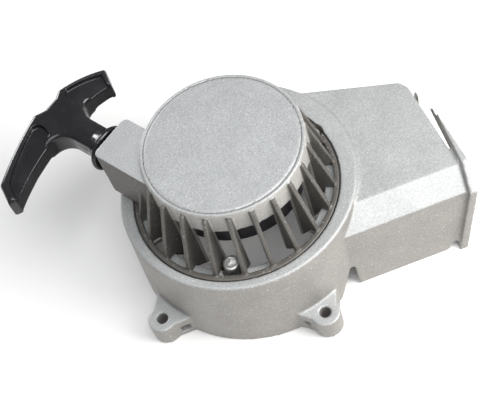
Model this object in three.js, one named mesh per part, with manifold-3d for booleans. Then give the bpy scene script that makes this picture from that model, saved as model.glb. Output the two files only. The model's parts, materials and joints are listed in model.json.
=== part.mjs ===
// Recoil starter for a small two-stroke engine: a cast fan cowl with an air duct, a cast starter housing with a
// finned cage and a rope box, a rope pulley with two pawls, and a T-handle on the starter rope.
// Millimetres, +Z up. The crank axis is the model's Z axis, and z = 0 is the mounting plane of the cowl.
import * as THREE from 'three';
import { mergeVertices } from 'three/addons/utils/BufferGeometryUtils.js';
import Module from 'manifold-3d';

const wasm = await Module();
wasm.setup();

// ---- driving dimensions ----
const GAP = 0.3;                      // running and seating gap between separate pieces
const OVER = 1;                       // how far a cutting tool reaches past the face that it cuts
const ROUND = 64;                     // segments of the large circles
const MEDIUM = 32;                    // segments of the bushes and washers
const SMALL = 16;                     // segments of the small circles

const cowl = {
  baseRadius: 59.5, rimRadius: 57, rimTop: 47.5, rimChamfer: 0.8, wall: 3.5,
  boreX: -1.4, boreY: -2.5, boreRadius: 49.6, ledgeRadius: 41.8, ledgeTop: 44.3, ledgeThickness: 3.3,
  windows: [[-165, -151], [-86, -56], [38, 92], [150, 176]],
};
const duct = {
  top: 45.8, chamferTopY: -33, chamferLowZ: 39, chamferLowY: -44.6, footY: -48.4, wall: 3.2,
  rearStartY: 51.5, rearEndX: 92.5, rearEndY: 20.6, rearCorner: 3, rearLean: 0.33, rearSlope: 1.05,
  endX: 99.5, endLean: 10, lip: 2.4, lipWidth: 4, length: 130,
};
const ear = {
  top: 13, holeRadius: 2.75, lobeRadius: 7.2, rootWidth: 26, rootDepth: 4,
  pocketLow: 2.4, pocketHigh: 7.8, pocketStart: 5.2,
};
const ears = [
  { x: -56.5, y: -35 },
  { x: 17, y: -62.6 },
  { x: -16, y: 64.5 },
];
const cap = {
  radius: 38, top: 81, skirtBottom: 67, wall: 3.1, roof: 3.7, edge: 0.5,
  grooveRadius: 36.3, grooveWidth: 1.1, grooveDepth: 0.8,
};
const ring = { x: -1.4, y: -2, innerRadius: 46.6, outerRadius: 49, bottom: 44.6, top: 47 };
const fin = {
  count: 23, firstAngle: -165.6, thickness: 2.2, headZ: 79.2, headRadius: 39.2, headX: -0.4, headY: -1,
  footZ: 33.5, footRadius: 36.2, footDrop: 3.6,
};
const lug = {
  radius: 42.6, gaps: [3, 11, 18], headClearance: 4.5, padRadius: 5.6, holeRadius: 2.8, bottom: 37, top: 40.4,
};
const boss = { radius: 6, bottom: 28, top: 36.7, holeRadius: 2.9, ribStart: 50 };

const ropeAngle = 125.45;             // direction in which the rope is pulled, degrees from +X
const rope = { radius: 1.5, offset: 24, z: 68.5, leadStart: 13, leadEnd: 85.5 };
const ropeBox = {
  start: 12, end: 50, inner: 11, outer: 34.5, bottom: 49.5, top: 79.6, corner: 3, wall: 3, eyeRadius: 4.3,
};
const guide = { collarRadius: 5.6, bodyRadius: 4, start: 46.2, end: 50.9, collar: 0.5 };
const spindle = { radius: 6, bottom: 58.8, screwRadius: 2.5 };
const pulley = {
  radius: 34.3, bottom: 61.5, grooveLow: 65.2, grooveHigh: 71.8, top: 72.8, drumRadius: 13.2, bore: 8.6,
  flare: 1.2, rimBottom: 52.2, rimInner: 31.4, holeCount: 6, holeRadius: 3.6, holePlace: 27,
};
const winding = { innerRadius: 13.5, outerRadius: 25.5, segments: 40, crestSteps: 4 };
const spring = {
  innerRadius: 9.2, outerRadius: 33.4, turns: 6, strip: 0.7, bottom: 73.3, top: 76.8, stepsPerTurn: 16,
};
const pawl = {
  pivotRadius: 19, bottom: 56.2, top: 60.6, pinRadius: 2.4, length: 13.5, eyeRadius: 4.6, lean: -100,
  springRoom: 2.6, pinHead: 1.3, pinHeadThickness: 1.2, wire: 0.3, coils: 2.2,
};
const plate = { radius: 12.5, bottom: 52.4, top: 53.6, slotStart: 8, slotEnd: 14, slotWidth: 6 };
const frictionRing = { radius: 7, bottom: 53.9, top: 56.6 };
const centreWasher = { radius: 10.5, bottom: 56.9, top: 58.5 };
const screwSocket = { radius: 2.1, depth: 2.6 };
const housingScrew = { headRadius: 4, headHeight: 6.6, shankRadius: 2.5, shankLength: 13 };
const centreScrew = { headRadius: 4.6, headHeight: 4, shankRadius: 2.5, shankLength: 22 };
const handle = {
  base: 51, thickness: 13, recess: 2.4, stemRadius: 6.6, stemEnd: 22, flangeRadius: 11.5,
  round: 2.4, roundSteps: 3, pocketStart: 30.5, pocketRadius: 4.4, reach: 60,
};
const knot = {
  washerStart: 81.9, washerEnd: 82.9, washerRadius: 4, start: 85.8, end: 91.5, radius: 3.6, neck: 2.3,
};

// ---- materials ----
function finish(color, roughness, metalness) {
  return new THREE.MeshStandardMaterial({ color, roughness, metalness });
}

const castAluminium = finish(0xb9b7b2, 0.55, 0.6);
const zinc = finish(0xc9c9c6, 0.3, 0.9);
const steel = finish(0x8d8f92, 0.35, 0.9);
const blackPlastic = finish(0x111214, 0.3, 0);
const pulleyPlastic = finish(0x16161a, 0.5, 0);
const bronze = finish(0x9a6b3a, 0.4, 0.9);
const ropeFibre = finish(0x2a2a2c, 0.9, 0);

// ---- solids ----
function solid(geometry, matrix = new THREE.Matrix4()) {
  const bare = geometry.clone();
  bare.applyMatrix4(matrix);
  bare.deleteAttribute('normal');
  bare.deleteAttribute('uv');
  const merged = mergeVertices(bare, 1e-4);
  const mesh = new wasm.Mesh({
    numProp: 3,
    vertProperties: new Float32Array(merged.attributes.position.array),
    triVerts: new Uint32Array(merged.index.array),
  });
  return new wasm.Manifold(mesh);
}

function geometryOf(manifold) {
  const mesh = manifold.getMesh();
  const geometry = new THREE.BufferGeometry();
  geometry.setAttribute('position', new THREE.BufferAttribute(new Float32Array(mesh.vertProperties), 3));
  geometry.setIndex(new THREE.BufferAttribute(new Uint32Array(mesh.triVerts), 1));
  return geometry;
}

function shift(x, y, z) {
  return new THREE.Matrix4().makeTranslation(x, y, z);
}

function turnZ(degrees) {
  return new THREE.Matrix4().makeRotationZ(THREE.MathUtils.degToRad(degrees));
}

function polar(radius, degrees) {
  const angle = THREE.MathUtils.degToRad(degrees);
  return [radius * Math.cos(angle), radius * Math.sin(angle)];
}

// Stands a flat outline up: its X stays, its Y becomes Z, and it is extruded along -Y.
const upright = new THREE.Matrix4().makeRotationX(Math.PI / 2);

// An upright prism from a list of [x, y] corners or a Shape.
function prism(outline, low, high, matrix = new THREE.Matrix4(), curveSegments = 12) {
  const corners = (list) => new THREE.Shape(list.map(([x, y]) => new THREE.Vector2(x, y)));
  const shape = outline instanceof THREE.Shape ? outline : corners(outline);
  const geometry = new THREE.ExtrudeGeometry(shape, { depth: high - low, bevelEnabled: false, curveSegments });
  return solid(geometry, matrix.clone().multiply(shift(0, 0, low)));
}

// A body of revolution about Z from [radius, z] corners, closed back to its first corner.
function revolve(profile, segments = ROUND, matrix = new THREE.Matrix4()) {
  const points = [...profile, profile[0]].map(([r, z]) => new THREE.Vector2(r, z));
  const geometry = new THREE.LatheGeometry(points, segments);
  const place = matrix.clone().multiply(upright);
  const body = solid(geometry, place);
  return body.volume() > 0 ? body : solid(geometry.scale(-1, 1, 1), place);
}

function disc(radius, low, high, x = 0, y = 0, segments = ROUND) {
  return revolve([[0, low], [radius, low], [radius, high], [0, high]], segments, shift(x, y, 0));
}

function tube(inner, outer, low, high, x = 0, y = 0, segments = ROUND) {
  return revolve([[inner, low], [outer, low], [outer, high], [inner, high]], segments, shift(x, y, 0));
}

function box(x0, x1, y0, y1, z0, z1, matrix = new THREE.Matrix4()) {
  const geometry = new THREE.BoxGeometry(x1 - x0, y1 - y0, z1 - z0);
  return solid(geometry, matrix.clone().multiply(shift((x0 + x1) / 2, (y0 + y1) / 2, (z0 + z1) / 2)));
}

// Frame of the rope line: local X along the pull, local Y away from the crank axis, local Z up.
const ropeFrame = turnZ(ropeAngle);

// A body of revolution whose axis is the rope line, from [radius, distance along] corners.
function onRope(profile, segments = SMALL) {
  const lay = new THREE.Matrix4().makeRotationY(Math.PI / 2);
  return revolve(profile, segments, ropeFrame.clone().multiply(shift(0, rope.offset, rope.z)).multiply(lay));
}

function ropeCylinder(radius, start, end) {
  return onRope([[0, start], [radius, start], [radius, end], [0, end]]);
}

// ---- screw places ----
function gapAngle(gap) {
  return fin.firstAngle + ((gap + 0.5) * 360) / fin.count;
}

const lugAngles = lug.gaps.map(gapAngle);

// ---- fan cowl ----
// The duct's walls in plan, moved in by an inset, with its outlet end moved out by an overrun.
function ductPlan(inset, overrun) {
  const drop = inset * duct.rearSlope;
  const front = duct.footY - duct.lipWidth;
  return [
    [0, duct.rearStartY - drop],
    [duct.rearEndX - duct.rearCorner + overrun, duct.rearEndY + 1 - drop - overrun * duct.rearLean],
    [duct.rearEndX + overrun, duct.rearEndY - duct.rearCorner - inset],
    [duct.endX + overrun, front],
    [0, front],
  ];
}

// The duct's section across X as [y, z] corners: upright front wall, chamfer and roof, open below.
function ductSection(inset) {
  const beyond = duct.rearStartY + 9;
  const floor = inset > 0 ? -OVER : 0;
  const chamferInset = inset * 0.4;
  return [
    [duct.footY + inset, floor],
    [duct.chamferLowY + inset, duct.chamferLowZ - chamferInset],
    [duct.chamferTopY + chamferInset, duct.top - inset],
    [beyond, duct.top - inset],
    [beyond, floor],
  ];
}

function ductSolid(inset, overrun) {
  const alongX = new THREE.Matrix4().makeBasis(
    new THREE.Vector3(0, 1, 0), new THREE.Vector3(0, 0, 1), new THREE.Vector3(1, 0, 0));
  const run = prism(ductSection(inset), 0, duct.length, alongX);
  return run.intersect(prism(ductPlan(inset, overrun), -2 * OVER, duct.top + 2 * duct.lip));
}

// A leaning slab across the duct's outlet, from one distance to another past the end plane.
function ductEndSlab(from, to) {
  const reach = 90;
  const low = -2 * OVER;
  const high = duct.top + 3 * duct.lip;
  const lean = (z) => duct.endLean * (1 - z / cowl.rimTop);
  return prism([
    [duct.endX + from - lean(high), high],
    [duct.endX + from - lean(low), low],
    [duct.endX + to - lean(low), low],
    [duct.endX + to - lean(high), high],
  ], -reach, reach, upright);
}

function ductLip() {
  return ductSolid(-duct.lip, duct.lipWidth).intersect(ductEndSlab(-OVER, duct.lipWidth - OVER));
}

function earFrame(place) {
  return {
    reach: Math.hypot(place.x, place.y),
    root: cowl.baseRadius - ear.rootDepth,
    matrix: turnZ(THREE.MathUtils.radToDeg(Math.atan2(place.y, place.x))),
  };
}

function earLobe(place) {
  const { reach, root, matrix } = earFrame(place);
  const half = ear.rootWidth / 2;
  const sweep = Math.PI / 2.6;
  const shape = new THREE.Shape();
  shape.moveTo(root, -half);
  shape.lineTo(reach - 1, -ear.lobeRadius);
  shape.absarc(reach, 0, ear.lobeRadius, -sweep, sweep, false);
  shape.lineTo(reach - 1, ear.lobeRadius);
  shape.lineTo(root, half);
  shape.closePath();
  return prism(shape, 0, ear.top, matrix, 8);
}

// The two hollows in an ear's sides, between its base flange and its top plate.
function earPockets(place) {
  const { reach, root, matrix } = earFrame(place);
  const end = reach - ear.holeRadius;
  const far = ear.rootWidth;
  const start = root + ear.rootDepth;
  const left = box(start, end, ear.pocketStart, far, ear.pocketLow, ear.pocketHigh, matrix);
  const right = box(start, end, -far, -ear.pocketStart, ear.pocketLow, ear.pocketHigh, matrix);
  return left.add(right);
}

function cowlWindows(plateUnder) {
  const inner = disc(cowl.boreRadius - 0.8, plateUnder - OVER, cowl.rimTop, cowl.boreX, cowl.boreY);
  const far = 80;
  const wedges = cowl.windows.map(([from, to]) => {
    const middle = (from + to) / 2;
    const wedge = [[cowl.boreX, cowl.boreY], polar(far, from), polar(far, middle), polar(far, to)];
    return prism(wedge, plateUnder - OVER, cowl.ledgeTop + 0.5).intersect(inner);
  });
  return wedges.reduce((all, wedge) => all.add(wedge));
}

function addBoss(body, angle, plateUnder) {
  const [x, y] = polar(lug.radius, angle);
  const outer = cowl.rimRadius - 2;
  const post = disc(boss.radius, boss.bottom, boss.top, x, y, SMALL);
  const bracket = box(lug.radius, outer, -boss.radius, boss.radius, boss.bottom, boss.top, turnZ(angle));
  const rib = box(boss.ribStart, outer, -boss.radius, boss.radius, boss.bottom, plateUnder + 0.5, turnZ(angle));
  return body.add(post).add(bracket).add(rib)
    .subtract(disc(lug.padRadius + GAP, boss.top, cowl.rimTop + OVER, x, y, SMALL))
    .subtract(disc(boss.holeRadius, boss.bottom - OVER, boss.top + OVER, x, y, SMALL));
}

// Slots in the foot of the duct's front wall, at its root and beside the outlet lip.
function footNotches() {
  const root = [[27, -OVER], [38, -OVER], [38, 14], [36, 15]];
  const lipSide = [[82.5, -OVER], [88.3, -OVER], [88.9, 4], [86.5, 4.6]];
  return prism(root, 40, 62, upright).add(prism(lipSide, 40, 62, upright));
}

function fanCowl() {
  const { baseRadius, rimRadius, rimTop, rimChamfer, wall, boreX, boreY } = cowl;
  const plateUnder = cowl.ledgeTop - cowl.ledgeThickness;
  let body = revolve([
    [0, 0], [baseRadius, 0], [rimRadius, rimTop - rimChamfer], [rimRadius - rimChamfer, rimTop], [0, rimTop],
  ]);
  body = body.add(ductSolid(0, 0));
  for (const place of ears) {
    body = body.add(earLobe(place).subtract(earPockets(place)));
  }
  body = body.subtract(revolve([
    [0, -OVER], [baseRadius - wall, -OVER], [rimRadius - wall, plateUnder], [0, plateUnder],
  ]));
  const passage = ductSolid(duct.wall, 12);
  const besideBore = passage.intersect(box(20, duct.length, -60, 60, -2 * OVER, rimTop));
  body = body.subtract(besideBore.subtract(disc(rimRadius - 1.5, plateUnder, rimTop + 5)));
  body = body.add(ductLip().subtract(passage));
  body = body.subtract(ductEndSlab(duct.lipWidth - OVER, 40));
  body = body.subtract(disc(cowl.boreRadius, cowl.ledgeTop, rimTop + OVER, boreX, boreY));
  body = body.subtract(disc(cowl.ledgeRadius, plateUnder - OVER, rimTop + OVER, boreX, boreY));
  body = body.subtract(cowlWindows(plateUnder));
  for (const angle of lugAngles) {
    body = addBoss(body, angle, plateUnder);
  }
  for (const place of ears) {
    body = body.subtract(disc(ear.holeRadius, -OVER, ear.top + OVER, place.x, place.y, SMALL));
  }
  return body.subtract(footNotches());
}

// ---- starter housing ----
// Distance from the crank axis to a circle that is eccentric to it, in a direction.
function reachTo(radius, x, y, degrees) {
  const [dx, dy] = polar(1, degrees);
  const along = dx * x + dy * y;
  return along + Math.sqrt(along * along + radius * radius - x * x - y * y);
}

function housingFin(degrees) {
  const reach = reachTo(ring.innerRadius + 0.9, ring.x, ring.y, degrees);
  const head = reachTo(fin.headRadius, fin.headX, fin.headY, degrees);
  const profile = [
    [fin.footRadius, fin.footZ],
    [fin.footRadius + 0.8, fin.footZ - 0.4],
    [reach - fin.footDrop, ring.bottom],
    [reach, ring.bottom],
    [reach, ring.top],
    [head, fin.headZ],
    [fin.footRadius, fin.headZ],
  ];
  return prism(profile, -fin.thickness / 2, fin.thickness / 2, turnZ(degrees).multiply(upright));
}

function ropeBoxSolid() {
  const { start, end, inner, outer, bottom, top, corner } = ropeBox;
  const shape = new THREE.Shape();
  shape.moveTo(start, inner);
  shape.lineTo(end - corner, inner);
  shape.absarc(end - corner, inner + corner, corner, -Math.PI / 2, 0, false);
  shape.lineTo(end, outer - corner);
  shape.absarc(end - corner, outer - corner, corner, 0, Math.PI / 2, false);
  shape.lineTo(start, outer);
  shape.closePath();
  return prism(shape, bottom, top, ropeFrame, 5);
}

function capSolid() {
  const { radius, top, edge, skirtBottom, grooveRadius, grooveWidth, grooveDepth } = cap;
  const half = grooveWidth / 2;
  return revolve([
    [0, top], [grooveRadius - half, top], [grooveRadius - half, top - grooveDepth],
    [grooveRadius + half, top - grooveDepth], [grooveRadius + half, top],
    [radius - edge, top], [radius, top - edge], [radius, skirtBottom], [0, skirtBottom],
  ]);
}

function addLug(body, angle) {
  const [x, y] = polar(lug.radius, angle);
  return body
    .subtract(disc(boss.radius + GAP, boss.bottom - OVER, lug.bottom, x, y, SMALL))
    .add(disc(lug.padRadius, lug.bottom, lug.top, x, y, SMALL))
    .subtract(disc(lug.headClearance, lug.top, cap.skirtBottom - 2, x, y, SMALL))
    .subtract(disc(lug.holeRadius, lug.bottom - OVER, lug.top + OVER, x, y, SMALL));
}

function starterHousing() {
  const underRoof = cap.top - cap.roof;
  const { start, end, inner, outer, bottom, wall } = ropeBox;
  let body = capSolid();
  for (let i = 0; i < fin.count; i += 1) {
    body = body.add(housingFin(fin.firstAngle + (i * 360) / fin.count));
  }
  body = body.add(ropeBoxSolid());
  body = body.subtract(disc(cap.radius - cap.wall, fin.footZ - 5, underRoof));
  const ringHole = disc(ring.innerRadius, ring.bottom - OVER, ring.top + OVER, ring.x, ring.y);
  body = body.add(disc(ring.outerRadius, ring.bottom, ring.top, cowl.boreX, cowl.boreY).subtract(ringHole));
  const besideLedge = tube(cowl.ledgeRadius - GAP, 70, 20, cowl.ledgeTop + GAP, cowl.boreX, cowl.boreY);
  body = body.subtract(besideLedge);
  for (const angle of lugAngles) {
    body = addLug(body, angle);
  }
  body = body.subtract(box(start, end - wall, inner + wall, outer - wall, bottom + wall, underRoof, ropeFrame));
  body = body.subtract(ropeCylinder(ropeBox.eyeRadius, end - wall - OVER, end + OVER));
  return body.add(tube(spindle.screwRadius + GAP, spindle.radius, spindle.bottom, underRoof + 0.5, 0, 0, MEDIUM));
}

// ---- screws ----
// A socket-cap screw standing on z = 0, its shank below.
function socketScrew({ headRadius, headHeight, shankRadius, shankLength }) {
  const edge = 0.5;
  const hexagon = [0, 1, 2, 3, 4, 5].map((i) => polar(screwSocket.radius, i * 60));
  const head = revolve([
    [0, 0], [headRadius, 0], [headRadius, headHeight - edge], [headRadius - edge, headHeight], [0, headHeight],
  ], SMALL);
  const shank = disc(shankRadius, -shankLength, 0.2, 0, 0, SMALL);
  return head.add(shank).subtract(prism(hexagon, headHeight - screwSocket.depth, headHeight + OVER));
}

// ---- pulley and what rides on it ----
function ropePulley() {
  const { radius, bottom, grooveLow, grooveHigh, top, drumRadius, bore, flare, rimBottom, rimInner } = pulley;
  const { holeCount, holeRadius, holePlace } = pulley;
  let body = revolve([
    [bore, bottom], [rimInner, bottom], [rimInner, rimBottom], [radius, rimBottom],
    [radius, grooveLow - flare], [radius - 1, grooveLow], [drumRadius, grooveLow],
    [drumRadius, grooveHigh], [radius - 1, grooveHigh], [radius, grooveHigh + 0.4], [radius, top], [bore, top],
  ]);
  for (let i = 0; i < holeCount; i += 1) {
    const [x, y] = polar(holePlace, ((i + 0.5) * 360) / holeCount);
    body = body.subtract(disc(holeRadius, bottom - OVER, grooveLow + OVER, x, y, SMALL));
  }
  for (const side of [0, 180]) {
    const [x, y] = polar(pawl.pivotRadius, side);
    body = body.subtract(disc(pawl.pinRadius + GAP, bottom - OVER, grooveLow - 0.6, x, y, SMALL));
  }
  return body;
}

function ropeTurns() {
  const middle = (pulley.grooveLow + pulley.grooveHigh) / 2;
  const crestRadius = winding.outerRadius - rope.radius;
  const crest = (centre) => Array.from({ length: winding.crestSteps + 1 }, (_, i) => {
    const angle = -Math.PI / 2 + (i * Math.PI) / winding.crestSteps;
    return [crestRadius + rope.radius * Math.cos(angle), centre + rope.radius * Math.sin(angle)];
  });
  return revolve([
    [winding.innerRadius, middle - 2 * rope.radius],
    ...crest(middle - rope.radius),
    ...crest(middle + rope.radius).slice(1),
    [winding.innerRadius, middle + 2 * rope.radius],
  ], winding.segments);
}

function recoilSpring() {
  const steps = spring.turns * spring.stepsPerTurn;
  const pitch = (spring.outerRadius - spring.innerRadius) / steps;
  const inner = [];
  const outer = [];
  for (let i = 0; i <= steps; i += 1) {
    const radius = spring.innerRadius + pitch * i;
    const angle = (i * 360) / spring.stepsPerTurn;
    inner.push(polar(radius, angle));
    outer.push(polar(radius + spring.strip, angle));
  }
  return prism([...outer, ...inner.reverse()], spring.bottom, spring.top);
}

// A pawl with its pivot at the origin and its nose along +X.
function pawlSolid() {
  const shape = new THREE.Shape();
  shape.absarc(0, 0, pawl.eyeRadius, Math.PI * 0.35, Math.PI * 1.35, false);
  shape.lineTo(pawl.length * 0.62, -4.4);
  shape.lineTo(pawl.length, -1.6);
  shape.lineTo(pawl.length - 0.8, 1.4);
  shape.closePath();
  const body = prism(shape, pawl.bottom, pawl.top, new THREE.Matrix4(), 10);
  return body.subtract(disc(pawl.pinRadius + GAP, pawl.bottom - OVER, pawl.top + OVER, 0, 0, SMALL));
}

function pawlPin() {
  const headTop = pawl.bottom - GAP - pawl.springRoom;
  const shank = disc(pawl.pinRadius, headTop - 0.2, pulley.grooveLow - 1.2, 0, 0, SMALL);
  return shank.add(disc(pawl.pinRadius + pawl.pinHead, headTop - pawl.pinHeadThickness, headTop, 0, 0, SMALL));
}

class Helix extends THREE.Curve {
  constructor(radius, low, high, turns) {
    super();
    Object.assign(this, { radius, low, high, turns });
  }

  getPoint(t, target = new THREE.Vector3()) {
    const angle = t * this.turns * 2 * Math.PI;
    const height = this.low + (this.high - this.low) * t;
    return target.set(this.radius * Math.cos(angle), this.radius * Math.sin(angle), height);
  }
}

// A coil spring round the pin, as a wire swept along a helix.
function pawlSpring() {
  const { wire, coils } = pawl;
  const low = pawl.bottom - GAP - pawl.springRoom + wire + 0.1;
  const path = new Helix(pawl.pinRadius + 0.7, low, pawl.bottom - wire - 0.2, coils);
  const section = new THREE.Shape();
  section.absarc(0, 0, wire, 0, Math.PI * 2, false);
  const options = { extrudePath: path, steps: 26, curveSegments: 3, bevelEnabled: false };
  return solid(new THREE.ExtrudeGeometry(section, options));
}

// ---- friction plate ----
function frictionPlate() {
  const half = plate.slotWidth / 2;
  let body = tube(spindle.screwRadius + GAP, plate.radius, plate.bottom, plate.top, 0, 0, MEDIUM);
  for (const side of [90, 270]) {
    const { slotStart, slotEnd, bottom, top } = plate;
    body = body.subtract(box(slotStart, slotEnd, -half, half, bottom - OVER, top + OVER, turnZ(side)));
  }
  return body;
}

// ---- pull handle ----
// In the handle's plane, x runs along the pull from its base and y runs across it, with the long arm on the +y side.
function handleOutline() {
  const stem = handle.stemRadius;
  const shape = new THREE.Shape();
  shape.moveTo(6, -stem);
  shape.lineTo(18, -stem);
  shape.quadraticCurveTo(25.4, -7, 25.8, -13);
  shape.quadraticCurveTo(25.5, -20, 21.8, -27);
  shape.lineTo(30.5, -32.5);
  shape.quadraticCurveTo(39.5, -23, 43.2, -10.5);
  shape.lineTo(41.2, -6.5);
  shape.lineTo(41.2, 1.5);
  shape.lineTo(44, 6.5);
  shape.quadraticCurveTo(39.5, 27, 31.5, 44.5);
  shape.lineTo(20.5, 50);
  shape.lineTo(18.5, 46.5);
  shape.quadraticCurveTo(25, 30, 26, 17);
  shape.quadraticCurveTo(26, 8, 18, stem);
  shape.lineTo(6, stem);
  shape.closePath();
  return shape;
}

function longArmRecess() {
  const shape = new THREE.Shape();
  shape.moveTo(29, 11);
  shape.quadraticCurveTo(38, 6.5, 39.4, 12.5);
  shape.quadraticCurveTo(35.5, 27, 28, 41);
  shape.lineTo(15, 48.4);
  shape.lineTo(15, 26);
  shape.quadraticCurveTo(26, 20, 29, 11);
  return shape;
}

function shortArmRecess() {
  const shape = new THREE.Shape();
  shape.moveTo(29, -10);
  shape.quadraticCurveTo(37.5, -8, 39.4, -13);
  shape.quadraticCurveTo(36.5, -22, 29.2, -28.8);
  shape.lineTo(17, -22);
  shape.lineTo(20, -16);
  shape.quadraticCurveTo(28, -18, 29, -10);
  return shape;
}

// The corners of a closed anticlockwise outline, each moved in by the same distance from both of its edges.
function insetCorners(corners, distance) {
  const count = corners.length;
  return corners.map((corner, i) => {
    const into = corner.clone().sub(corners[(i + count - 1) % count]).normalize();
    const away = corners[(i + 1) % count].clone().sub(corner).normalize();
    const share = distance / (1 + into.dot(away));
    return new THREE.Vector2(corner.x - (into.y + away.y) * share, corner.y + (into.x + away.x) * share);
  });
}

// The handle's flat body with its edges rounded over: rings of corners, joined into a skin and capped.
function handleBody(place) {
  const { thickness, round, roundSteps } = handle;
  const corners = handleOutline().getPoints(8).slice(0, -1);
  const count = corners.length;
  const arc = Array.from({ length: roundSteps + 1 }, (_, k) => (k * Math.PI) / 2 / roundSteps);
  const upper = arc.map((angle) => ({
    inset: round * (1 - Math.cos(angle)),
    z: thickness / 2 - round * (1 - Math.sin(angle)),
  }));
  const levels = [...upper.map(({ inset, z }) => ({ inset, z: -z })).reverse(), ...upper];
  const positions = levels.flatMap(({ inset, z }) => insetCorners(corners, inset).flatMap((p) => [p.x, p.y, z]));
  const faces = [];
  for (let level = 0; level < levels.length - 1; level += 1) {
    for (let i = 0; i < count; i += 1) {
      const a = level * count + i;
      const b = level * count + ((i + 1) % count);
      faces.push(a, b, b + count, a, b + count, a + count);
    }
  }
  const lastRing = (levels.length - 1) * count;
  for (const [i, j, k] of THREE.ShapeUtils.triangulateShape(insetCorners(corners, round), [])) {
    faces.push(k, j, i, lastRing + i, lastRing + j, lastRing + k);
  }
  const geometry = new THREE.BufferGeometry();
  geometry.setAttribute('position', new THREE.BufferAttribute(new Float32Array(positions), 3));
  geometry.setIndex(faces);
  return solid(geometry, place);
}

function pullHandle() {
  const { base, recess, stemRadius, stemEnd, flangeRadius, reach } = handle;
  const half = handle.thickness / 2;
  const place = ropeFrame.clone().multiply(shift(base, rope.offset, rope.z));
  let body = handleBody(place);
  for (const arm of [longArmRecess(), shortArmRecess()]) {
    body = body.subtract(prism(arm, half - recess, half + OVER, place, 8));
    body = body.subtract(prism(arm, -half - OVER, recess - half, place, 8));
  }
  body = body.add(onRope([
    [0, base + 0.6], [flangeRadius - 1, base + 0.6], [flangeRadius, base + 1.6], [flangeRadius, base + 2.6],
    [8.4, base + 5], [stemRadius + 0.4, base + 9], [stemRadius, base + stemEnd], [0, base + stemEnd],
  ], 28));
  body = body.subtract(ropeCylinder(rope.radius + GAP, base - OVER, base + reach));
  return body.subtract(ropeCylinder(handle.pocketRadius, base + handle.pocketStart, base + reach));
}

// ---- small turned pieces on the rope line ----
function ropeGuide() {
  const { collarRadius, bodyRadius, start, end, collar } = guide;
  const hole = rope.radius + GAP;
  return onRope([
    [hole, start], [collarRadius, start], [collarRadius, start + collar], [bodyRadius, start + collar],
    [bodyRadius, end - collar], [collarRadius, end - collar], [collarRadius, end], [hole, end],
  ]);
}

function knotWasher() {
  const { washerStart, washerEnd, washerRadius } = knot;
  const hole = rope.radius + GAP;
  return onRope([[hole, washerStart], [washerRadius, washerStart], [washerRadius, washerEnd], [hole, washerEnd]]);
}

function ropeKnot() {
  const { start, end, radius, neck } = knot;
  return onRope([[0, start], [neck, start], [radius, start + 1.7], [radius, end - 2], [neck, end], [0, end]]);
}

// ---- assembly ----
const assembly = new THREE.Group();
assembly.name = 'recoil_starter';

function addPiece(name, body, material, matrix = new THREE.Matrix4()) {
  const mesh = new THREE.Mesh(geometryOf(body), material);
  mesh.name = name;
  mesh.applyMatrix4(matrix);
  assembly.add(mesh);
}

addPiece('fan_cowl', fanCowl(), castAluminium);
addPiece('starter_housing', starterHousing(), castAluminium);
for (const [i, angle] of lugAngles.entries()) {
  const [x, y] = polar(lug.radius, angle);
  addPiece(`housing_screw_${i + 1}`, socketScrew(housingScrew), zinc, shift(x, y, lug.top + GAP));
}
addPiece('rope_guide', ropeGuide(), steel);
addPiece('pulley', ropePulley(), pulleyPlastic);
const bush = tube(spindle.radius + GAP, pulley.bore - GAP, pulley.bottom, pulley.top, 0, 0, MEDIUM);
addPiece('pulley_bush', bush, bronze);
addPiece('rope_winding', ropeTurns(), ropeFibre);
addPiece('recoil_spring', recoilSpring(), steel);

const screwHole = spindle.screwRadius + GAP;
const rings = [['centre_washer', centreWasher], ['friction_spring', frictionRing]];
for (const [name, { radius, bottom, top }] of rings) {
  addPiece(name, tube(screwHole, radius, bottom, top, 0, 0, MEDIUM), steel);
}
addPiece('friction_plate', frictionPlate(), steel);
const flip = new THREE.Matrix4().makeRotationX(Math.PI);
addPiece('centre_screw', socketScrew(centreScrew), zinc, shift(0, 0, plate.bottom - GAP).multiply(flip));

for (const [i, side] of [0, 180].entries()) {
  const [x, y] = polar(pawl.pivotRadius, side);
  const place = shift(x, y, 0).multiply(turnZ(side + pawl.lean));
  addPiece(`pawl_${i + 1}`, pawlSolid(), steel, place);
  addPiece(`pawl_pin_${i + 1}`, pawlPin(), steel, place);
  addPiece(`pawl_spring_${i + 1}`, pawlSpring(), steel, place);
}

addPiece('rope_lead', ropeCylinder(rope.radius, rope.leadStart, rope.leadEnd), ropeFibre);
addPiece('knot_washer', knotWasher(), steel);
addPiece('rope_knot', ropeKnot(), ropeFibre);
addPiece('pull_handle', pullHandle(), blackPlastic);

// The origin goes under the middle of the whole starter, on the mounting plane.
const bounds = new THREE.Box3().setFromObject(assembly);
const middle = bounds.getCenter(new THREE.Vector3());
assembly.position.set(-middle.x, -middle.y, 0);

export default assembly;
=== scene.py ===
# Looks for the recoil starter: castings, moulded handle and pulley, steel parts and the braided rope.
# Metres, +Z up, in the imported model's frame.
import json
from math import cos, pi, radians, sin

import bmesh
import bpy
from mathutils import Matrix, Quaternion, Vector


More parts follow.
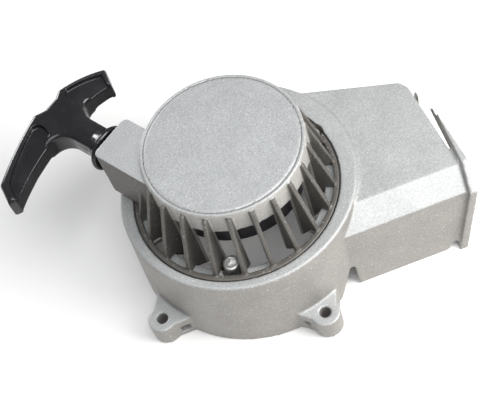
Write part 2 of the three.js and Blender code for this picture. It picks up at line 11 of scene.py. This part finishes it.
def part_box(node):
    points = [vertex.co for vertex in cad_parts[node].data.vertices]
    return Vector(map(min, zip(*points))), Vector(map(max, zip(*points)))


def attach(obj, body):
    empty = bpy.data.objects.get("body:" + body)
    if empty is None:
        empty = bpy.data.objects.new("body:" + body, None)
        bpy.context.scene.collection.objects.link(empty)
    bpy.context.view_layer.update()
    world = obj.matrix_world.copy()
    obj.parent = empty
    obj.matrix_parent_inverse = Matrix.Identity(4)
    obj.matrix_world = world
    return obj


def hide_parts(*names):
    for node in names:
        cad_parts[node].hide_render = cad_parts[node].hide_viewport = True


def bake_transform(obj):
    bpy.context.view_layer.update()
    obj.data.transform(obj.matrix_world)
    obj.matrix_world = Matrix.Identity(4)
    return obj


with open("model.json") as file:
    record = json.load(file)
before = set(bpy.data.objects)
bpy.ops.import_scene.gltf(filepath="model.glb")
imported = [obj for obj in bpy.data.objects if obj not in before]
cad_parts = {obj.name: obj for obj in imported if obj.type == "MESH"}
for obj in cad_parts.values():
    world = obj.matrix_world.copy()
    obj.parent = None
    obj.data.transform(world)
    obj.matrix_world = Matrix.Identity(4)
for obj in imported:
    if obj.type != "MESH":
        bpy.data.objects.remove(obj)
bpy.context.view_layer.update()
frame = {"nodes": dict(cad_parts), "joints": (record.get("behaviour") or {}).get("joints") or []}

MM = 0.001
NODES = frame["nodes"]
JOINTS = {joint["name"]: joint for joint in frame["joints"]}

# ---- places, from the frame ----
PULL = Vector(JOINTS["handle_pull"]["axis"]).normalized()   # direction in which the rope is pulled
ROPE_BASE = Vector(JOINTS["handle_twist"]["pos_m"])         # point of the rope line at the handle's base
CRANK = Vector(JOINTS["pulley_spin"]["pos_m"])              # point of the crank axis
ACROSS = Vector((PULL.y, -PULL.x, 0.0))                     # level, square to the rope line
UP = Vector((0.0, 0.0, 1.0))

# ---- sizes ----
CAST_VOXEL = 0.6 * MM
HANDLE_VOXEL = 0.4 * MM
SMALL_CHAMFER = 0.25 * MM
ROPE_RADIUS = 1.5 * MM
ROPE_START = -38 * MM                 # ends of the visible rope along the pull, from the handle's base
ROPE_END = 34.5 * MM
WINDING_INNER = 13.5 * MM
WINDING_LAYERS = 4
SCREW_HEAD = 6.6 * MM
CENTRE_HEAD = 4.0 * MM
KNURLS = 30
KNURL_DEPTH = 0.016                   # as a share of the head's radius
THREAD_PITCH = 0.9 * MM
THREAD_DEPTH = 0.45 * MM
THREAD_STEPS = 6                      # rings of points in one turn of thread
CAP_RADIUS = 38.15 * MM
GROOVE_INNER = 35.9 * MM
GROOVE_OUTER = 36.7 * MM

# ---- camera ----
VIEW_AZIMUTH = 1.26
VIEW_ELEVATION = 56.74
VIEW_ROLL = -21.88
VIEW_DISTANCE = 0.565
VIEW_TARGET = Vector((-0.00081, -0.00749, 0.04169))
LENS = 90.0


def direction(azimuth, elevation):
    """Unit vector from the object towards a place at that azimuth (0 is -Y) and elevation, in degrees."""
    a, e = radians(azimuth), radians(elevation)
    return Vector((sin(a) * cos(e), -cos(a) * cos(e), sin(e)))


def make_camera():
    camera = bpy.data.objects.new("camera", bpy.data.cameras.new("camera"))
    bpy.context.scene.collection.objects.link(camera)
    back = direction(VIEW_AZIMUTH, VIEW_ELEVATION)
    camera.data.lens = LENS
    camera.data.clip_start = 0.01
    camera.location = VIEW_TARGET + back * VIEW_DISTANCE
    camera.rotation_mode = "QUATERNION"
    roll = Quaternion((0.0, 0.0, 1.0), radians(VIEW_ROLL))
    camera.rotation_quaternion = (-back).to_track_quat("-Z", "Y") @ roll
    bpy.context.scene.camera = camera


def area_light(name, azimuth, elevation, distance, size, power, colour=(1.0, 1.0, 1.0), height=None):
    """A round light, or an upright rectangle when it has a height."""
    light = bpy.data.lights.new(name, "AREA")
    light.shape = "RECTANGLE" if height else "DISK"
    light.size = size
    light.size_y = height or size
    light.energy = power
    light.color = colour
    lamp = bpy.data.objects.new(name, light)
    bpy.context.scene.collection.objects.link(lamp)
    back = direction(azimuth, elevation)
    lamp.location = VIEW_TARGET + back * distance
    lamp.rotation_mode = "QUATERNION"
    lamp.rotation_quaternion = (-back).to_track_quat("-Z", "Y")


def make_light():
    world = bpy.data.worlds.new("studio")
    world.use_nodes = True
    background = world.node_tree.nodes["Background"]
    background.inputs["Color"].default_value = (0.97, 0.985, 1.0, 1.0)
    background.inputs["Strength"].default_value = 0.36
    bpy.context.scene.world = world
    bpy.context.scene.view_settings.view_transform = "Standard"
    area_light("key", 60, 36, 0.6, 0.4, 4.0, (1.0, 0.985, 0.965))
    area_light("top", 20, 74, 1.0, 0.8, 5.6, (0.98, 0.99, 1.0))
    area_light("strip", -152, 14, 1.3, 0.3, 5.9, height=0.48)


def make_floor():
    mesh = bpy.data.meshes.new("floor")
    reach = 3.0
    corners = [(-reach, -reach, 0), (reach, -reach, 0), (reach, reach, 0), (-reach, reach, 0)]
    mesh.from_pydata(corners, [], [(0, 1, 2, 3)])
    floor = bpy.data.objects.new("floor", mesh)
    bpy.context.scene.collection.objects.link(floor)
    floor.location.z = -0.2 * MM
    skin = bpy.data.materials.new("floor")
    skin.use_nodes = True
    shader = skin.node_tree.nodes["Principled BSDF"]
    shader.inputs["Base Color"].default_value = (0.93, 0.925, 0.92, 1.0)
    shader.inputs["Roughness"].default_value = 0.9
    mesh.materials.append(skin)


# ---- material building ----
class Skin:
    """A Principled material with helpers for its procedural nodes, in object coordinates."""

    def __init__(self, name, metallic=0.0, roughness=0.5):
        self.material = bpy.data.materials.new(name)
        self.material.use_nodes = True
        self.tree = self.material.node_tree
        self.shader = self.tree.nodes["Principled BSDF"]
        self.shader.inputs["Metallic"].default_value = metallic
        self.shader.inputs["Roughness"].default_value = roughness
        self.place = self.tree.nodes.new("ShaderNodeTexCoord").outputs["Object"]

    def node(self, kind, **values):
        made = self.tree.nodes.new(kind)
        for key, value in values.items():
            setattr(made, key, value)
        return made

    def link(self, source, target):
        self.tree.links.new(source, target)

    def noise(self, scale, detail=2.0, place=None):
        made = self.node("ShaderNodeTexNoise")
        made.inputs["Scale"].default_value = scale
        made.inputs["Detail"].default_value = detail
        self.link(place or self.place, made.inputs["Vector"])
        return made.outputs["Fac"]

    def ramp(self, source, low, high, low_value=0.0, high_value=1.0):
        made = self.node("ShaderNodeMapRange")
        made.inputs["From Min"].default_value = low
        made.inputs["From Max"].default_value = high
        made.inputs["To Min"].default_value = low_value
        made.inputs["To Max"].default_value = high_value
        self.link(source, made.inputs["Value"])
        return made.outputs["Result"]

    def mix(self, amount, first, second):
        """Colour mix; first and second are colours or sockets."""
        made = self.node("ShaderNodeMix", data_type="RGBA")
        self.link(amount, made.inputs["Factor"])
        for socket, value in ((made.inputs[6], first), (made.inputs[7], second)):
            if isinstance(value, tuple):
                socket.default_value = (*value, 1.0)
            else:
                self.link(value, socket)
        return made.outputs[2]

    def maths(self, operation, first, second):
        made = self.node("ShaderNodeMath", operation=operation)
        for socket, value in zip(made.inputs, (first, second)):
            if isinstance(value, float):
                socket.default_value = value
            else:
                self.link(value, socket)
        return made.outputs["Value"]

    def bump(self, height, strength, distance, under=None):
        made = self.node("ShaderNodeBump")
        made.inputs["Strength"].default_value = strength
        made.inputs["Distance"].default_value = distance
        self.link(height, made.inputs["Height"])
        if under is not None:
            self.link(under, made.inputs["Normal"])
        return made.outputs["Normal"]

    def set(self, socket, source):
        self.link(source, self.shader.inputs[socket])

    def scaled(self, colour, amount):
        """The colour times the amount."""
        made = self.node("ShaderNodeMix", data_type="RGBA", blend_type="MULTIPLY")
        made.inputs["Factor"].default_value = 1.0
        self.link(colour, made.inputs[6])
        self.link(amount, made.inputs[7])
        return made.outputs[2]

    def specks(self, scale, rarity):
        """1 in small round spots, in the few cells whose random value is over rarity."""
        cells = self.node("ShaderNodeTexVoronoi")
        cells.inputs["Scale"].default_value = scale
        self.link(self.place, cells.inputs["Vector"])
        value = self.node("ShaderNodeSeparateColor")
        self.link(cells.outputs["Color"], value.inputs["Color"])
        chosen = self.ramp(value.outputs["Red"], rarity, rarity + 0.02)
        return self.maths("MULTIPLY", chosen, self.ramp(cells.outputs["Distance"], 0.25, 0.5, 1.0, 0.0))

    def height(self):
        """Z of the place, in metres."""
        made = self.node("ShaderNodeSeparateXYZ")
        self.link(self.place, made.inputs["Vector"])
        return made.outputs["Z"]

    def distance_from_crank(self):
        """Distance of the place from the crank axis, in metres."""
        level = self.node("ShaderNodeVectorMath", operation="MULTIPLY")
        self.link(self.place, level.inputs[0])
        level.inputs[1].default_value = (1.0, 1.0, 0.0)
        away = self.node("ShaderNodeVectorMath", operation="DISTANCE")
        self.link(level.outputs["Vector"], away.inputs[0])
        away.inputs[1].default_value = (CRANK.x, CRANK.y, 0.0)
        return away.outputs["Value"]

    def facing_up(self):
        """1 on level faces that look up, 0 on upright ones."""
        geometry = self.node("ShaderNodeNewGeometry")
        made = self.node("ShaderNodeSeparateXYZ")
        self.link(geometry.outputs["Normal"], made.inputs["Vector"])
        return self.ramp(made.outputs["Z"], 0.3, 0.9)

    def edges(self, low, high):
        """1 on convex edges."""
        geometry = self.node("ShaderNodeNewGeometry")
        return self.ramp(geometry.outputs["Pointiness"], low, high)

    def creases(self, low, high):
        """1 in concave corners."""
        geometry = self.node("ShaderNodeNewGeometry")
        return self.ramp(geometry.outputs["Pointiness"], low, high, 1.0, 0.0)


def cast_skin(name, top, side, metallic, roughness, darker):
    """Bead-blasted casting: fine grain and a few bright specks, with painted light: level faces take the
    bluish top tone and upright faces the warmer side tone.

    darker(skin) gives the colour of the painted shade on parts of the casting, and a socket that is 1 on
    them."""
    skin = Skin(name, metallic=metallic, roughness=roughness)
    dark, amount = darker(skin)
    grain = skin.noise(2300.0, 2.0)
    mottle = skin.noise(70.0, 5.0)
    # painted light: level faces get the top tone and upright faces the side tone, as lit and shaded copies of
    # the casting's colour
    tone = skin.mix(skin.facing_up(), side, top)
    # painted shade from darker(skin) over the parts it marks
    tone = skin.mix(amount, tone, dark)
    tone = skin.scaled(tone, skin.ramp(mottle, 0.3, 0.7, 0.93, 1.05))
    tone = skin.scaled(tone, skin.ramp(grain, 0.3, 0.7, 0.72, 1.27))
    spark = skin.specks(1500.0, 0.955)
    tone = skin.mix(skin.maths("MULTIPLY", spark, 0.5), tone, (0.9, 0.9, 0.89))
    tone = skin.mix(skin.maths("MULTIPLY", skin.edges(0.51, 0.58), 0.08), tone, (0.84, 0.84, 0.83))
    # painted shade: concave creases darkened where shadow falls in them
    tone = skin.mix(skin.maths("MULTIPLY", skin.creases(0.44, 0.485), 0.6), tone, (0.09, 0.085, 0.08))
    skin.set("Base Color", tone)
    skin.set("Roughness", skin.ramp(grain, 0.3, 0.7, roughness - 0.08, roughness + 0.12))
    coarse = skin.bump(skin.noise(500.0, 3.0), 0.22, 0.2 * MM)
    skin.set("Normal", skin.bump(grain, 0.45, 0.1 * MM, coarse))
    return skin.material


def housing_painted_shade(skin):
    """Painted shade on the fins, the outer ring and the rope box's sides, which lie outside the cap, and in
    the cap's groove.
    """
    away = skin.distance_from_crank()
    # painted shade on every face outside the cap except the level top of the rope box
    outside = skin.ramp(away, CAP_RADIUS, CAP_RADIUS + 0.35 * MM)
    box_top = skin.maths("MULTIPLY", skin.facing_up(), skin.ramp(skin.height(), 79.3 * MM, 79.45 * MM))
    sides = skin.maths("MULTIPLY", outside, skin.maths("SUBTRACT", 1.0, box_top))
    # painted shade: a thin dark ring along the cap's groove
    from_inside = skin.ramp(away, GROOVE_INNER, GROOVE_INNER + 0.2 * MM)
    from_outside = skin.ramp(away, GROOVE_OUTER - 0.2 * MM, GROOVE_OUTER, 1.0, 0.0)
    groove = skin.maths("MULTIPLY", from_inside, from_outside)
    groove = skin.maths("MULTIPLY", groove, skin.ramp(skin.height(), 79.7 * MM, 80 * MM, 0.0, 0.55))
    return (0.125, 0.117, 0.106), skin.maths("MAXIMUM", sides, groove)


def cowl_painted_shade(skin):
    """Painted shade on the cowl's inside."""
    inside = skin.ramp(skin.distance_from_crank(), 53.2 * MM, 55.6 * MM, 1.0, 0.0)
    below = skin.ramp(skin.height(), 40 * MM, 43 * MM, 1.0, 0.0)
    return (0.1, 0.095, 0.088), skin.maths("MULTIPLY", inside, below)


def metal_skin(name, colour, roughness, streak=0.12):
    """Machined or plated metal: fine turning streaks, slight tarnish and bright edges."""
    skin = Skin(name, metallic=1.0, roughness=roughness)
    stretch = skin.node("ShaderNodeMapping")
    stretch.inputs["Scale"].default_value = (1.0, 1.0, 14.0)
    skin.link(skin.place, stretch.inputs["Vector"])
    streaks = skin.noise(700.0, 3.0, stretch.outputs["Vector"])
    tarnish = skin.noise(180.0, 4.0)
    dull = tuple(0.62 * channel for channel in colour)
    bright = tuple(min(1.0, 1.18 * channel) for channel in colour)
    tone = skin.mix(skin.ramp(tarnish, 0.42, 0.7), colour, dull)
    tone = skin.mix(skin.edges(0.51, 0.58), tone, bright)
    skin.set("Base Color", tone)
    skin.set("Roughness", skin.ramp(streaks, 0.3, 0.7, roughness - streak / 2, roughness + streak))
    skin.set("Normal", skin.bump(streaks, 0.12, 0.05 * MM))
    return skin.material


def plastic_skin(name, colour, roughness, peel):
    """Moulded plastic: faint orange peel, fine scuffs and dust in the texture."""
    skin = Skin(name, roughness=roughness)
    scuffs = skin.noise(900.0, 5.0)
    patches = skin.noise(60.0, 3.0)
    dusty = tuple(channel + 0.035 for channel in colour)
    tone = skin.mix(skin.ramp(patches, 0.4, 0.7, 0.0, 0.3), colour, dusty)
    tone = skin.mix(skin.specks(1300.0, 0.975), tone, (0.05, 0.05, 0.053))
    skin.set("Base Color", tone)
    skin.set("Roughness", skin.ramp(scuffs, 0.35, 0.7, roughness - 0.05, roughness + 0.1))
    skin.set("Normal", skin.bump(skin.noise(450.0, 2.0), peel, 0.06 * MM))
    return skin.material


def rope_skin(name, colour):
    """Braided cord: small raised cells for the strands, and pale loose fibres."""
    skin = Skin(name, roughness=0.8)
    weave = skin.node("ShaderNodeTexVoronoi", distance="CHEBYCHEV")
    weave.inputs["Scale"].default_value = 1500.0
    weave.inputs["Randomness"].default_value = 0.35
    skin.link(skin.place, weave.inputs["Vector"])
    fibres = skin.noise(4200.0, 2.0)
    fleck = tuple(min(1.0, 4.0 * channel + 0.1) for channel in colour)
    # painted shade: the low borders between the strands' cells are darkened
    tone = skin.mix(skin.ramp(weave.outputs["Distance"], 0.1, 0.5), colour, tuple(0.35 * c for c in colour))
    tone = skin.mix(skin.ramp(fibres, 0.6, 0.75, 0.0, 0.6), tone, fleck)
    skin.set("Base Color", tone)
    skin.shader.inputs["Sheen Weight"].default_value = 0.4
    skin.set("Normal", skin.bump(weave.outputs["Distance"], 0.7, -0.3 * MM))
    return skin.material


# ---- mesh building ----
def add_object(name, mesh, material, body, slot, *nodes):
    piece = bpy.data.objects.new(name, mesh)
    bpy.context.scene.collection.objects.link(piece)
    mesh.materials.clear()
    mesh.materials.append(material)
    for polygon in mesh.polygons:
        polygon.use_smooth = True
    if body:
        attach(piece, body)
    if nodes:
        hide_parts(*nodes)
    return piece


def mesh_from_rings(name, rings):
    """A tube skin through rings of equal length, with a fan over each end."""
    count = len(rings[0])
    points = [point for ring in rings for point in ring]
    last = (len(rings) - 1) * count
    faces = []
    for start in range(0, last, count):
        for j in range(count):
            k = (j + 1) % count
            faces.append((start + j, start + k, start + count + k, start + count + j))
    points += [sum(rings[0], Vector()) / count, sum(rings[-1], Vector()) / count]
    for j in range(count):
        k = (j + 1) % count
        faces.append((len(points) - 2, k, j))
        faces.append((len(points) - 1, last + j, last + k))
    mesh = bpy.data.meshes.new(name)
    mesh.from_pydata(points, [], faces)
    work = bmesh.new()
    work.from_mesh(mesh)
    bmesh.ops.recalc_face_normals(work, faces=work.faces)
    work.to_mesh(mesh)
    work.free()
    return mesh


def sweep(name, path, radius, sides=12, taper=1):
    """A round wire along a path of points, with rounded ends."""
    rings = []
    side = None
    for i, point in enumerate(path):
        ahead = path[min(i + 1, len(path) - 1)] - path[max(i - 1, 0)]
        ahead.normalize()
        side = ahead.orthogonal() if side is None else side - ahead * side.dot(ahead)
        side.normalize()
        other = ahead.cross(side)
        from_end = min(i, len(path) - 1 - i)
        size = radius if from_end >= taper else radius * (0.55 + 0.45 * from_end / taper)
        angles = [2 * pi * j / sides for j in range(sides)]
        rings.append([point + (side * cos(angle) + other * sin(angle)) * size for angle in angles])
    return mesh_from_rings(name, rings)


def smooth_path(points, steps):
    """A Catmull-Rom curve through the points."""
    ends = [points[0] * 2 - points[1], *points, points[-1] * 2 - points[-2]]
    path = []
    for i in range(1, len(ends) - 2):
        p0, p1, p2, p3 = ends[i - 1:i + 3]
        for k in range(steps):
            t = k / steps
            path.append(0.5 * (p1 * 2 + (p2 - p0) * t + (p0 * 2 - p1 * 5 + p2 * 4 - p3) * t * t
                               + (p1 * 3 - p0 - p2 * 3 + p3) * t ** 3))
    return path + [points[-1]]


# ---- pieces ----
def cast_finish(node, material, voxel, rounds, keep):
    """Gives a CAD casting or moulding the soft edges and fillets of a cast surface."""
    part = NODES[node]
    remesh = part.modifiers.new("cast_skin", "REMESH")
    remesh.mode = "VOXEL"
    remesh.voxel_size = voxel
    remesh.use_smooth_shade = True
    soften = part.modifiers.new("fillets", "SMOOTH")
    soften.factor = 0.5
    soften.iterations = rounds
    if keep < 1.0:
        thin = part.modifiers.new("lighten", "DECIMATE")
        thin.ratio = keep
    part.data.materials.clear()
    part.data.materials.append(material)


def bevel_finish(node, material, width):
    """Gives a machined CAD part its small chamfers."""
    part = NODES[node]
    join = part.modifiers.new("join", "WELD")
    join.merge_threshold = 0.002 * MM
    flat = part.modifiers.new("flat", "DECIMATE")
    flat.decimate_type = "DISSOLVE"
    flat.angle_limit = radians(1.5)
    bevel = part.modifiers.new("chamfer", "BEVEL")
    bevel.width = width
    bevel.segments = 2
    bevel.limit_method = "ANGLE"
    bevel.angle_limit = radians(40)
    bevel.harden_normals = True
    part.data.materials.clear()
    part.data.materials.append(material)


def screw(name, node, material, head, socket, down=True):
    """A socket-cap screw with a knurled head, a hexagon socket and a thread, in a CAD screw's place."""
    low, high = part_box(node)
    middle = (low + high) / 2
    width = (high.x - low.x) / 2
    length = high.z - low.z - head
    seat = high.z - head if down else low.z + head
    turn = 1.0 if down else -1.0
    sides = KNURLS * 3
    angles = [2 * pi * j / sides for j in range(sides)]
    shank = width * 0.595
    rings = []

    def ring(height, radius_at):
        rings.append([
            Vector((middle.x + radius_at(angle) * cos(angle), middle.y + turn * radius_at(angle) * sin(angle),
                    seat + turn * height))
            for angle in angles
        ])

    def hexagon(angle):
        return socket / cos((angle + pi / 6) % (pi / 3) - pi / 6)

    def knurled(radius):
        return lambda angle: radius * (1 + KNURL_DEPTH * cos(KNURLS * angle))

    def round_at(radius):
        return lambda angle: radius

    def thread(height):
        def radius(angle):
            phase = (height / THREAD_PITCH + angle / (2 * pi)) % 1.0
            return shank - THREAD_DEPTH * abs(2 * phase - 1)
        return radius

    ring(head - 2.4 * MM, round_at(socket * 0.2))
    ring(head - 2.2 * MM, hexagon)
    ring(head - 0.35 * MM, hexagon)
    ring(head - 0.05 * MM, lambda angle: hexagon(angle) + 0.25 * MM)
    ring(head, lambda angle: hexagon(angle) + 0.45 * MM)
    ring(head, round_at(width - 0.75 * MM))
    ring(head - 0.15 * MM, round_at(width - 0.4 * MM))
    ring(head - 0.5 * MM, round_at(width - 0.12 * MM))
    ring(head - 0.8 * MM, knurled(width * 0.985))
    ring(0.7 * MM, knurled(width * 0.985))
    ring(0.35 * MM, round_at(width - 0.1 * MM))
    ring(0.0, round_at(width - 0.4 * MM))
    ring(0.0, round_at(shank + 0.3 * MM))
    ring(-0.3 * MM, round_at(shank))
    steps = int(length / (THREAD_PITCH / THREAD_STEPS)) - 4
    for i in range(1, steps):
        height = -0.3 * MM - i * THREAD_PITCH / THREAD_STEPS
        ring(height, thread(height))
    ring(-length + 0.15 * MM, round_at(shank - 0.6 * MM))
    ring(-length, round_at(shank - 1.0 * MM))
    return add_object(name, mesh_from_rings(name, rings), material, "housing", "zinc", node)


def rope_turns(material):
    """The rope wound on the pulley's drum: two turns side by side in each layer."""
    low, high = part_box("rope_winding")
    middle = (low.z + high.z) / 2
    steps = 56
    path = []
    for layer in range(WINDING_LAYERS):
        radius = WINDING_INNER + ROPE_RADIUS * (2 * layer + 1)
        rise = 1 if layer % 2 == 0 else -1
        for turn in (0, 1):
            side = rise * (2 * turn - 1)
            for i in range(steps):
                share = i / steps
                cross = max(0.0, (share - 0.86) / 0.14)
                height, out = side * ROPE_RADIUS, 0.0
                if turn == 0:
                    height = side * ROPE_RADIUS * cos(pi * cross)
                elif layer < WINDING_LAYERS - 1:
                    out = ROPE_RADIUS * (1 - cos(pi * cross))
                angle = -2 * pi * share
                path.append(CRANK + Vector(((radius + out) * cos(angle), (radius + out) * sin(angle), 0)))
                path[-1].z = middle + height * 0.98
    mesh = sweep("rope_turns", path, ROPE_RADIUS * 0.985, 10)
    return add_object("rope_turns", mesh, material, "pulley", "rope", "rope_winding")


def starter_rope(material):
    """The rope from the winding through the guide to the knot."""
    steps = 150
    path = [ROPE_BASE + PULL * (ROPE_START + (ROPE_END - ROPE_START) * i / steps) for i in range(steps + 1)]
    mesh = sweep("starter_rope", path, ROPE_RADIUS, 20, 3)
    piece = add_object("starter_rope", mesh, material, None, "rope", "rope_lead")
    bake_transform(piece)
    return piece


def stopper_knot(material):
    """An overhand knot with a short tail, in the handle's pocket."""
    low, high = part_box("rope_knot")
    centre = (low + high) / 2
    centre.z = ROPE_BASE.z
    centre = ROPE_BASE + PULL * (centre - ROPE_BASE).dot(PULL)
    loop, wire = 0.62 * MM, 0.95 * MM
    points = [centre - PULL * 2.9 * MM]
    count = 40
    for i in range(count):
        t = 0.5 + (2 * pi - 1.0) * i / (count - 1)
        side = loop * (sin(t) + 2 * sin(2 * t))
        rise = loop * (cos(t) - 2 * cos(2 * t))
        points.append(centre + ACROSS * side + UP * rise - PULL * 1.5 * MM * sin(3 * t))
    points.append(centre + PULL * 2.6 * MM)
    mesh = sweep("stopper_knot", smooth_path(points, 3), wire, 12, 2)
    return add_object("stopper_knot", mesh, material, "rope_end", "rope", "rope_knot")


def spiral_spring(material):
    """The recoil spring's flat strip, wound outwards round the spindle in even turns."""
    low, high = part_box("recoil_spring")
    strip = 0.5 * MM
    inner, outer, turns, steps = 9.4 * MM, 33.0 * MM, 9, 540
    half = (high.z - low.z) / 2 - 0.15 * MM
    middle = (high.z + low.z) / 2
    rings = []
    for i in range(steps + 1):
        share = i / steps
        angle = 2 * pi * turns * share
        radius = inner + (outer - inner) * share
        out = Vector((cos(angle), sin(angle), 0))
        base = Vector((CRANK.x, CRANK.y, middle)) + out * radius
        bend = 0.12 * MM
        rings.append([
            base - UP * (half - bend), base - UP * half + out * bend,
            base + out * (strip - bend) - UP * half, base + out * strip - UP * (half - bend),
            base + out * strip + UP * (half - bend), base + out * (strip - bend) + UP * half,
            base + UP * half + out * bend, base + UP * (half - bend),
        ])
    mesh = mesh_from_rings("spiral_spring", rings)
    return add_object("spiral_spring", mesh, material, "housing", "steel", "recoil_spring")


def pawl_coil(number, material):
    """The pawl's coil spring round its pin."""
    node = f"pawl_spring_{number}"
    low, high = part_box(node)
    middle = (low + high) / 2
    wire, turns, steps = 0.3 * MM, 2.4, 70
    radius = (high.x - low.x) / 2 - wire
    path = []
    for i in range(steps + 1):
        angle = 2 * pi * turns * i / steps
        height = low.z + wire + (high.z - low.z - 2 * wire) * i / steps
        path.append(Vector((middle.x + radius * cos(angle), middle.y + radius * sin(angle), height)))
    name = f"pawl_coil_{number}"
    return add_object(name, sweep(name, path, wire, 10), material, "pulley", "steel", node)


make_camera()
make_light()
make_floor()

# the top and side colours are lit and shaded copies of each casting's tone, painted light; the shade
# functions give painted shade
CAST_COWL = cast_skin("cast_cowl", (0.45, 0.46, 0.46), (0.32, 0.308, 0.29), 0.4, 0.5, cowl_painted_shade)
CAST_HOUSING = cast_skin("cast_housing", (0.45, 0.46, 0.465), (0.46, 0.447, 0.425), 0.4, 0.5, housing_painted_shade)
ZINC = metal_skin("zinc_plate", (0.88, 0.88, 0.86), 0.36)
STEEL = metal_skin("bright_steel", (0.56, 0.57, 0.58), 0.32)
SPRING_STEEL = metal_skin("spring_steel", (0.33, 0.35, 0.4), 0.3)
BRONZE = metal_skin("sintered_bronze", (0.55, 0.36, 0.18), 0.42)
HANDLE = plastic_skin("glossy_black", (0.009, 0.009, 0.011), 0.17, 0.1)
NYLON = plastic_skin("black_nylon", (0.02, 0.02, 0.024), 0.5, 0.3)
ROPE = rope_skin("black_braid", (0.035, 0.035, 0.04))

cast_finish("fan_cowl", CAST_COWL, CAST_VOXEL, 4, 0.5)
cast_finish("starter_housing", CAST_HOUSING, CAST_VOXEL * 0.85, 3, 0.5)
cast_finish("pull_handle", HANDLE, HANDLE_VOXEL, 12, 1.0)
cast_finish("pulley", NYLON, HANDLE_VOXEL, 2, 0.6)
for number in (1, 2, 3):
    screw(f"cap_screw_{number}", f"housing_screw_{number}", ZINC, SCREW_HEAD, 2.0 * MM)
screw("spindle_screw", "centre_screw", ZINC, CENTRE_HEAD, 2.1 * MM, down=False)
for plain in ("centre_washer", "friction_spring", "friction_plate", "rope_guide", "knot_washer",
              "pawl_1", "pawl_2", "pawl_pin_1", "pawl_pin_2"):
    bevel_finish(plain, STEEL, SMALL_CHAMFER)
bevel_finish("pulley_bush", BRONZE, SMALL_CHAMFER)
rope_turns(ROPE)
starter_rope(ROPE)
stopper_knot(ROPE)
spiral_spring(SPRING_STEEL)
for number in (1, 2):
    pawl_coil(number, SPRING_STEEL)
